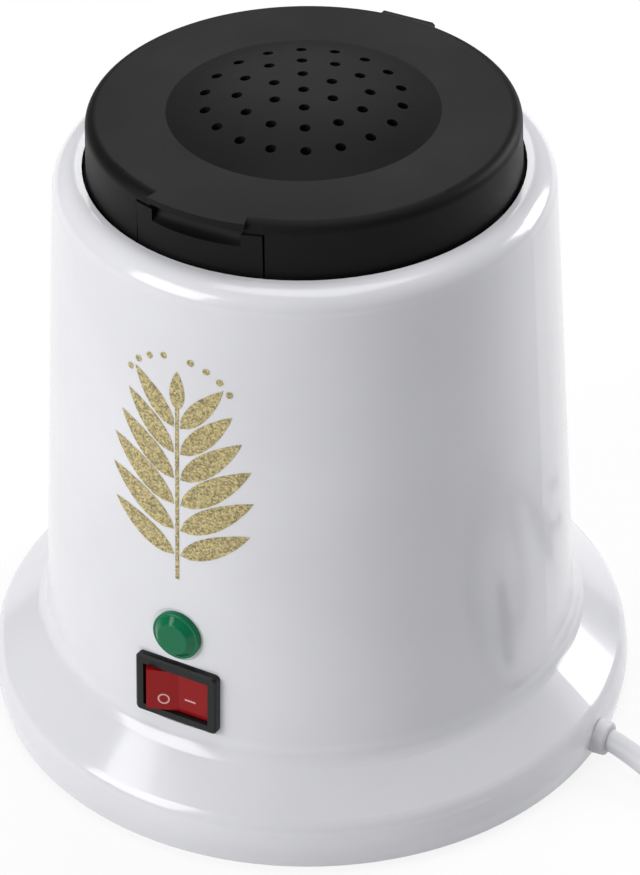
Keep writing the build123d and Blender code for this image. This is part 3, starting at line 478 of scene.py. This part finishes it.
class STERILIZER_OT_finish_shell(bpy.types.Operator):
    """Gives the white housing and the black cap their moulded finish."""

    bl_idname = "sterilizer.finish_shell"
    bl_label = "Finish shell and cap"

    def execute(self, context):
        look = context.scene.sterilizer_plastic
        shell = moulded_material(
            "glossy_white_shell", tuple(look.shell_colour), look.shell_roughness, look.shell_roughness + 0.07,
            ripple=35.0, grain=1500.0, share=0.12, depth=0.00003, Coat_Weight=0.35, Coat_Roughness=0.08,
        )
        cap = moulded_material(
            "satin_black_cap", tuple(look.cap_colour), look.cap_roughness, look.cap_roughness + 0.12,
            ripple=120.0, grain=2600.0, share=0.7, depth=0.00003, Specular_IOR_Level=0.1,
        )
        dress(shell, "housing")
        dress(cap, "lid", "deck")
        return {"FINISHED"}


class STERILIZER_OT_finish_switch(bpy.types.Operator):
    """Finishes the switch and the lamp and prints the two marks on the button."""

    bl_idname = "sterilizer.finish_switch"
    bl_label = "Finish switch and lamp"

    def execute(self, context):
        nylon = moulded_material(
            "black_nylon", (0.008, 0.009, 0.009), 0.28, 0.4,
            ripple=200.0, grain=3500.0, share=0.6, depth=0.00002, Specular_IOR_Level=0.25,
        )
        # The red button's faint emission is a painted glow: the rocker holds no lamp, and the glow only
        # brightens its red
        red = clear_plastic("red_button", (0.34, 0.002, 0.003), 0.2, 0.2, glow=0.05)
        green = clear_plastic("green_lens", (0.004, 0.21, 0.085), 0.1, 0.3, glow=0.04)
        brass = metal_material("brass", (0.72, 0.55, 0.25), 0.22, 0.4)
        glass, _, _ = new_material("lamp_glass", (0.95, 0.75, 0.6), 0.05, Transmission_Weight=0.9)
        dress(nylon, "switch_housing", "lamp_body", "lamp_nut", "cord_tie", "push_connectors")
        dress(red, "rocker")
        dress(green, "lamp_lens")
        dress(brass, "switch_terminals", "thermal_fuse", "terminal_screws", "block_inserts", "earth_tag")
        dress(glass, "neon_bulb")
        self.print_marks()
        return {"FINISHED"}

    def print_marks(self):
        """A ring on the left half and a bar on the right half of the button."""
        shape = bmesh.new()
        ring_place = button_half(-1) @ Matrix.Translation(RING_SPOT)
        outer = bmesh.ops.create_circle(shape, segments=32, radius=RING_OUTER)["verts"]
        inner = bmesh.ops.create_circle(shape, segments=32, radius=RING_INNER)["verts"]
        bmesh.ops.bridge_loops(shape, edges=list(shape.edges))
        upright = Matrix.Rotation(math.radians(90), 4, "X")
        bmesh.ops.transform(shape, matrix=ring_place @ upright, verts=outer + inner)
        bar = bmesh.ops.create_grid(shape, x_segments=1, y_segments=2, size=0.5)["verts"]
        bmesh.ops.scale(shape, vec=(BAR_LENGTH, BAR_WIDTH, 1.0), verts=bar)
        bar_place = button_half(1) @ Matrix.Translation(BAR_SPOT)
        bmesh.ops.transform(shape, matrix=bar_place @ upright, verts=bar)
        bmesh.ops.recalc_face_normals(shape, faces=shape.faces)
        pale_print = moulded_material("mark_print", (0.72, 0.42, 0.42), 0.45, 0.55, depth=0.00001)
        finished_piece("switch_marks", shape, pale_print, "rocker")


class STERILIZER_OT_finish_inside(bpy.types.Operator):
    """Finishes the pot, the heater, the insulation, the base and the fasteners."""

    bl_idname = "sterilizer.finish_inside"
    bl_label = "Finish inner pieces"

    def execute(self, context):
        steel = metal_material("drawn_steel", (0.58, 0.57, 0.55), 0.2, 0.36)
        zinc = metal_material("zinc_sheet", (0.55, 0.56, 0.58), 0.32, 0.5, density=400.0)
        fibre = fibre_material("ceramic_fibre", (0.78, 0.76, 0.72))
        rubber = moulded_material(
            "foot_rubber", (0.02, 0.02, 0.02), 0.7, 0.85, ripple=200.0, grain=3000.0, share=0.8, depth=0.00005
        )
        silicone = moulded_material("red_silicone", (0.42, 0.09, 0.05), 0.55, 0.7, grain=1800.0, share=0.5)
        phenolic = moulded_material("brown_phenolic", (0.06, 0.035, 0.025), 0.4, 0.55)
        dress(steel, "crucible", "hinge_pin", "heater_band", "plug_pins")
        dress(zinc, "base_plate", "base_screws", "shield_posts", "post_screws", "deck_screws")
        dress(zinc, "clamp_screws", "heat_shield", "earth_stud", "earth_nut")
        dress(fibre, "insulation_sleeve", "insulation_disc")
        dress(rubber, "rubber_feet")
        dress(silicone, "mouth_gasket")
        dress(phenolic, "thermostat")
        brown = moulded_material("brown_wire", (0.12, 0.045, 0.02), 0.4, 0.5, grain=2400.0, share=0.5)
        blue = moulded_material("blue_wire", (0.02, 0.10, 0.38), 0.4, 0.5, grain=2400.0, share=0.5)
        dress(brown, "live_core", "switch_wire", "lamp_feed")
        dress(blue, "neutral_core", "lamp_return")
        dress(self.striped_wire(), "earth_core", "earth_wire")
        woven = moulded_material(
            "heat_proof_wire", (0.68, 0.66, 0.6), 0.7, 0.85, grain=2800.0, share=0.8, depth=0.0001
        )
        dress(woven, "fuse_wire", "thermostat_wire", "heater_feed", "heater_return")
        return {"FINISHED"}

    def striped_wire(self):
        """Green insulation with a yellow stripe that winds along the wire."""
        material, tree, shader = new_material("earth_wire_stripe", (0.05, 0.3, 0.04), 0.45)
        wave = tree.nodes.new("ShaderNodeTexWave")
        wave.inputs["Scale"].default_value = 120.0
        tree.links.new(object_coordinates(tree), wave.inputs["Vector"])
        tinted(tree, shader, wave.outputs["Fac"], (0.04, 0.26, 0.03), (0.7, 0.6, 0.03))
        add_bump(tree, shader, wave.outputs["Fac"], 0.00001)
        return material


class STERILIZER_OT_lay_beads(bpy.types.Operator):
    """Fills the pot with loose glass beads."""

    bl_idname = "sterilizer.lay_beads"
    bl_label = "Lay beads"

    def execute(self, context):
        size = context.scene.sterilizer_beads
        low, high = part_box("glass_beads")
        fill_radius = (high[0] - low[0]) / 2
        radius = size.diameter / 2
        drop = size.diameter * math.sqrt(2 / 3)
        shape = bmesh.new()
        core_high = high[2] - size.layers * drop - radius
        depth = core_high - low[2]
        core = bmesh.ops.create_cone(
            shape, cap_ends=True, segments=48, depth=depth,
            radius1=fill_radius - FILL_FOOT_STEP, radius2=fill_radius,
        )["verts"]
        bmesh.ops.translate(shape, verts=core, vec=(0, 0, low[2] + depth / 2))
        shaker = random.Random(7)
        row_step = size.diameter * math.sqrt(3) / 2
        rows = int(fill_radius / row_step) + 2
        jitter = 0.12 * radius
        for layer in range(size.layers + 1):
            level = high[2] - radius - layer * drop
            shift = layer * row_step / 1.5
            for row in range(-rows, rows + 1):
                spots = []
                for column in range(-rows - 2, rows + 3):
                    x = (column + 0.5 * (row % 2)) * size.diameter
                    y = row * row_step + shift
                    if math.hypot(x, y) > fill_radius - radius:
                        continue
                    shake_x = shaker.uniform(-jitter, jitter)
                    shake_y = shaker.uniform(-jitter, jitter)
                    sink = shaker.uniform(0, 0.5 * radius)
                    spots.append((x + shake_x, y + shake_y, level - sink))
                self.add_row(shape, spots, radius)
        material, tree, shader = new_material(
            "bead_glass", (0.86, 0.9, 0.92), 0.06, Transmission_Weight=0.55, IOR=1.5
        )
        marks = place_group(tree, "handling_marks", Low=0.04, High=0.22, Scale=400.0)
        tree.links.new(marks.outputs["Roughness"], shader.inputs["Roughness"])
        tinted(tree, shader, marks.outputs["Mask"], (0.86, 0.9, 0.92), (0.72, 0.78, 0.8))
        piece = finished_piece("bead_fill", shape, material, "base")
        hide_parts("glass_beads")
        return {"FINISHED"}


    def add_row(self, shape, spots, radius):
        """Adds a row of beads through a small mesh of its own, which is quicker."""
        row = bmesh.new()
        for spot in spots:
            bmesh.ops.create_uvsphere(
                row, u_segments=10, v_segments=7, radius=radius, matrix=Matrix.Translation(spot)
            )
        mesh = bpy.data.meshes.new("bead_row")
        row.to_mesh(mesh)
        row.free()
        shape.from_mesh(mesh)
        bpy.data.meshes.remove(mesh)


class STERILIZER_OT_run_lead(bpy.types.Operator):
    """Runs the mains lead from its bushing, through its coil, to its plug."""

    bl_idname = "sterilizer.run_lead"
    bl_label = "Run mains lead"

    # The route's points from the bushing to the coil and from the coil to the plug
    lead_route = [
        (0.07875, 0.0, 0.0056),
        (0.0864, -0.0013, 0.0044),
        (0.0970, -0.0060, 0.0029),
        (0.1095, -0.0110, 0.00265),
        (0.1230, -0.0142, 0.00265),
    ]
    tail_route = [
        (0.1510, 0.0556, 0.0077),
        (0.1375, 0.0646, 0.0075),
        (0.1215, 0.0705, 0.0075),
    ]
    coil_centre = (0.138, 0.022)
    turns_in_layer = 3
    start_angle = math.radians(-90.0)
    leave_angle = math.radians(40.0)

    def coil_points(self, size):
        """The turns of the coil: inwards on the floor, then outwards on top."""
        pitch = size.diameter
        whole = self.turns_in_layer * 2 * math.pi
        last = whole + (self.leave_angle - self.start_angle) - 2 * math.pi
        step = 2 * math.pi / size.points_per_turn
        outer = size.coil_radius + pitch
        inner = size.coil_radius - pitch
        points = []
        for layer, reach in enumerate((whole, last)):
            begin, end = (outer, inner) if layer == 0 else (inner, outer)
            level = size.diameter * (layer + 0.5)
            count = round(reach / step)
            first = 0 if layer == 0 else 2
            for index in range(first, count + 1):
                share = index / count
                radius = (begin + (end - begin) * share) / math.cos(step / 4)
                angle = self.start_angle + index * reach / count
                points.append(
                    (
                        self.coil_centre[0] + radius * math.cos(angle),
                        self.coil_centre[1] + radius * math.sin(angle),
                        level,
                    )
                )
        return points

    def execute(self, context):
        size = context.scene.sterilizer_lead
        route = self.lead_route + self.coil_points(size) + self.tail_route
        curve = bpy.data.curves.new("mains_lead", "CURVE")
        curve.dimensions = "3D"
        spline = curve.splines.new("NURBS")
        spline.points.add(len(route) - 1)
        for point, place in zip(spline.points, route):
            point.co = (*place, 1.0)
        spline.order_u = 3
        spline.use_endpoint_u = True
        spline.resolution_u = 6
        curve.bevel_depth = size.diameter / 2
        curve.bevel_resolution = 4
        curve.use_fill_caps = True
        lead = bpy.data.objects.new("mains_lead", curve)
        context.scene.collection.objects.link(lead)
        sheath = moulded_material(
            "white_sheath", (0.74, 0.74, 0.765), 0.38, 0.5,
            ripple=90.0, grain=1800.0, share=0.5, depth=0.00003,
        )
        curve.materials.append(sheath)
        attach(lead, "base")
        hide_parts("power_cord", "cord_coil", "cord_tail")
        dress(sheath, "cord_gland", "inner_lead", "plug_body", "terminal_block")
        return {"FINISHED"}


class STERILIZER_OT_print_ornament(bpy.types.Operator):
    """Prints a plain gold sprig on the front of the housing."""

    bl_idname = "sterilizer.print_ornament"
    bl_label = "Print ornament"

    def execute(self, context):
        look = context.scene.sterilizer_ornament
        shape = bmesh.new()
        height = look.high - look.low
        steps = 28
        stem = [(0.0, look.low + height * 0.86 * step / steps) for step in range(steps + 1)]
        add_ribbon(shape, stem, STEM_WIDTH)
        for pair in range(look.pairs):
            share = (pair + 0.5) / look.pairs
            foot = look.low + height * (0.06 + 0.74 * share)
            length = look.half_width * (1.08 - 0.5 * abs(share - 0.35))
            for side in (-1, 1):
                lean = side * math.radians(64 - 26 * share)
                add_leaf(shape, (side * 0.8 * MM, foot), lean, length * 0.9, length * 0.26)
        add_leaf(shape, (0.0, look.low + height * 0.82), 0.0, height * 0.18, height * 0.07)
        for side in (-1, 1):
            for step in range(4):
                turn = math.radians(14 + 17 * step)
                reach = look.half_width * 0.62
                middle = look.high - reach * 0.55
                spot = (side * reach * math.sin(turn), middle + reach * math.cos(turn) * 0.8)
                add_dot(shape, spot, BERRY_RADIUS)
        wrap_on_wall(shape, PRINT_LIFT)
        bmesh.ops.remove_doubles(shape, verts=shape.verts, dist=0.00001)
        bmesh.ops.recalc_face_normals(shape, faces=shape.faces)
        print_material = self.gold_print(tuple(look.colour))
        finished_piece("gold_sprig", shape, print_material, "base", smooth=False)
        return {"FINISHED"}

    def gold_print(self, colour):
        """Gold ink with fine glitter in it."""
        material, tree, shader = new_material("gold_glitter", colour, 0.5, Metallic=0.35)
        flakes = place_group(tree, "glitter_flakes", Scale=2600.0)
        dark = tuple(part * 0.55 for part in colour)
        light = tuple(min(1.0, part * 1.75) for part in colour)
        tinted(tree, shader, flakes.outputs["Value"], dark, light)
        add_bump(tree, shader, flakes.outputs["Value"], 0.00004)
        return material


class STERILIZER_OT_set_studio(bpy.types.Operator):
    """Sets the pale floor, the soft lamps and the camera."""

    bl_idname = "sterilizer.set_studio"
    bl_label = "Set studio"

    target = Vector((0.0022986, 0.001248, 0.06557))

    def execute(self, context):
        look = context.scene.sterilizer_studio
        context.scene.view_settings.view_transform = "Standard"
        self.lay_floor(context, look)
        self.light_sky(context, look)
        self.hang_lamp(context, "key_lamp", (-0.57, -0.93, 0.57), 0.7, look.key_power)
        self.hang_lamp(context, "rim_lamp", (0.55, 0.92, 0.48), 0.5, look.rim_power)
        self.hang_lamp(context, "back_lamp", (-0.50, 0.90, 0.80), 0.5, look.back_power)
        self.hang_lamp(context, "top_lamp", (0.0, 0.05, 1.15), 0.7, look.top_power)
        self.set_camera(context, look)
        return {"FINISHED"}

    def lay_floor(self, context, look):
        """A wide pale floor that keeps the shadow and shows white."""
        shape = bmesh.new()
        bmesh.ops.create_circle(shape, cap_ends=True, segments=64, radius=FLOOR_RADIUS)
        mesh = bpy.data.meshes.new("studio_floor")
        shape.to_mesh(mesh)
        shape.free()
        floor = bpy.data.objects.new("studio_floor", mesh)
        context.scene.collection.objects.link(floor)
        material, tree, shader = new_material("pale_floor", (0.72, 0.72, 0.73), 0.9)
        shine = tree.nodes.new("ShaderNodeEmission")
        shine.inputs["Color"].default_value = (1.0, 1.0, 1.0, 1.0)
        shine.inputs["Strength"].default_value = look.floor_glow
        ray = tree.nodes.new("ShaderNodeLightPath")
        seen = tree.nodes.new("ShaderNodeMath")
        seen.operation = "ADD"
        seen.use_clamp = True
        either = tree.nodes.new("ShaderNodeMath")
        either.operation = "ADD"
        either.use_clamp = True
        share = tree.nodes.new("ShaderNodeMath")
        share.operation = "MULTIPLY"
        share.inputs[1].default_value = FLOOR_SHINE
        blend = tree.nodes.new("ShaderNodeMixShader")
        end = tree.nodes["Material Output"]
        tree.links.new(ray.outputs["Is Camera Ray"], seen.inputs[0])
        tree.links.new(ray.outputs["Is Glossy Ray"], seen.inputs[1])
        tree.links.new(seen.outputs[0], either.inputs[0])
        tree.links.new(ray.outputs["Is Transmission Ray"], either.inputs[1])
        tree.links.new(either.outputs[0], share.inputs[0])
        tree.links.new(share.outputs[0], blend.inputs["Fac"])
        tree.links.new(shader.outputs["BSDF"], blend.inputs[1])
        tree.links.new(shine.outputs["Emission"], blend.inputs[2])
        tree.links.new(blend.outputs["Shader"], end.inputs["Surface"])
        mesh.materials.append(material)

    def light_sky(self, context, look):
        """Even light from all round."""
        world = bpy.data.worlds.new("studio_sky")
        world.use_nodes = True
        tree = world.node_tree
        sky = tree.nodes["Background"]
        sky.inputs["Color"].default_value = (0.97, 0.98, 1.0, 1.0)
        sky.inputs["Strength"].default_value = look.sky
        context.scene.world = world

    def hang_lamp(self, context, name, place, size, power):
        """A square lamp at a place, aimed at the unit."""
        lamp = bpy.data.lights.new(name, "AREA")
        lamp.shape = "SQUARE"
        lamp.size = size
        lamp.energy = power
        holder = bpy.data.objects.new(name, lamp)
        holder.location = place
        aim = self.target - Vector(place)
        holder.rotation_euler = aim.to_track_quat("-Z", "Y").to_euler()
        context.scene.collection.objects.link(holder)

    def set_camera(self, context, look):
        """A camera that looks at the unit from the set angle."""
        back = Vector(
            (
                math.sin(look.azimuth) * math.cos(look.elevation),
                -math.cos(look.azimuth) * math.cos(look.elevation),
                math.sin(look.elevation),
            )
        )
        right = Vector((math.cos(look.azimuth), math.sin(look.azimuth), 0.0))
        up = back.cross(right)
        across = math.cos(look.roll) * right + math.sin(look.roll) * up
        above = math.cos(look.roll) * up - math.sin(look.roll) * right
        turn = Matrix((across, above, back)).transposed()
        camera_data = bpy.data.cameras.new("studio_camera")
        camera_data.lens = look.lens
        camera_data.sensor_width = 36.0
        camera_data.clip_start = 0.05
        camera_data.clip_end = 20.0
        camera = bpy.data.objects.new("studio_camera", camera_data)
        camera.matrix_world = Matrix.Translation(self.target + back * look.distance) @ turn.to_4x4()
        context.scene.collection.objects.link(camera)
        context.scene.camera = camera


class STERILIZER_PT_panel(bpy.types.Panel):
    """Lists the sterilizer's sizes, colours and steps."""

    bl_label = "Sterilizer"
    bl_idname = "STERILIZER_PT_panel"
    bl_space_type = "VIEW_3D"
    bl_region_type = "UI"
    bl_category = "Sterilizer"

    def draw(self, context):
        for attribute in SETTINGS:
            group = getattr(context.scene, attribute)
            box = self.layout.box()
            for key in group.__annotations__:
                box.prop(group, key)
        for operator in STEPS:
            self.layout.operator(operator.bl_idname)


SETTINGS = {
    "sterilizer_plastic": PlasticSettings,
    "sterilizer_beads": BeadSettings,
    "sterilizer_lead": LeadSettings,
    "sterilizer_ornament": OrnamentSettings,
    "sterilizer_studio": StudioSettings,
}

STEPS = [
    STERILIZER_OT_finish_shell,
    STERILIZER_OT_finish_switch,
    STERILIZER_OT_finish_inside,
    STERILIZER_OT_lay_beads,
    STERILIZER_OT_run_lead,
    STERILIZER_OT_print_ornament,
    STERILIZER_OT_set_studio,
]


def register():
    for attribute, group in SETTINGS.items():
        bpy.utils.register_class(group)
        setattr(bpy.types.Scene, attribute, PointerProperty(type=group))
    for operator in STEPS:
        bpy.utils.register_class(operator)
    bpy.utils.register_class(STERILIZER_PT_panel)


def unregister():
    bpy.utils.unregister_class(STERILIZER_PT_panel)
    for operator in reversed(STEPS):
        bpy.utils.unregister_class(operator)
    for attribute, group in SETTINGS.items():
        delattr(bpy.types.Scene, attribute)
        bpy.utils.unregister_class(group)


def plain(corners):
    """The corners of a box as plain lists."""
    return [[float(value) for value in corner] for corner in corners]


def main():
    """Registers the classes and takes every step."""
    register()
    for operator in STEPS:
        category, name = operator.bl_idname.split(".")
        getattr(getattr(bpy.ops, category), name)()


if __name__ == "__main__":
    main()
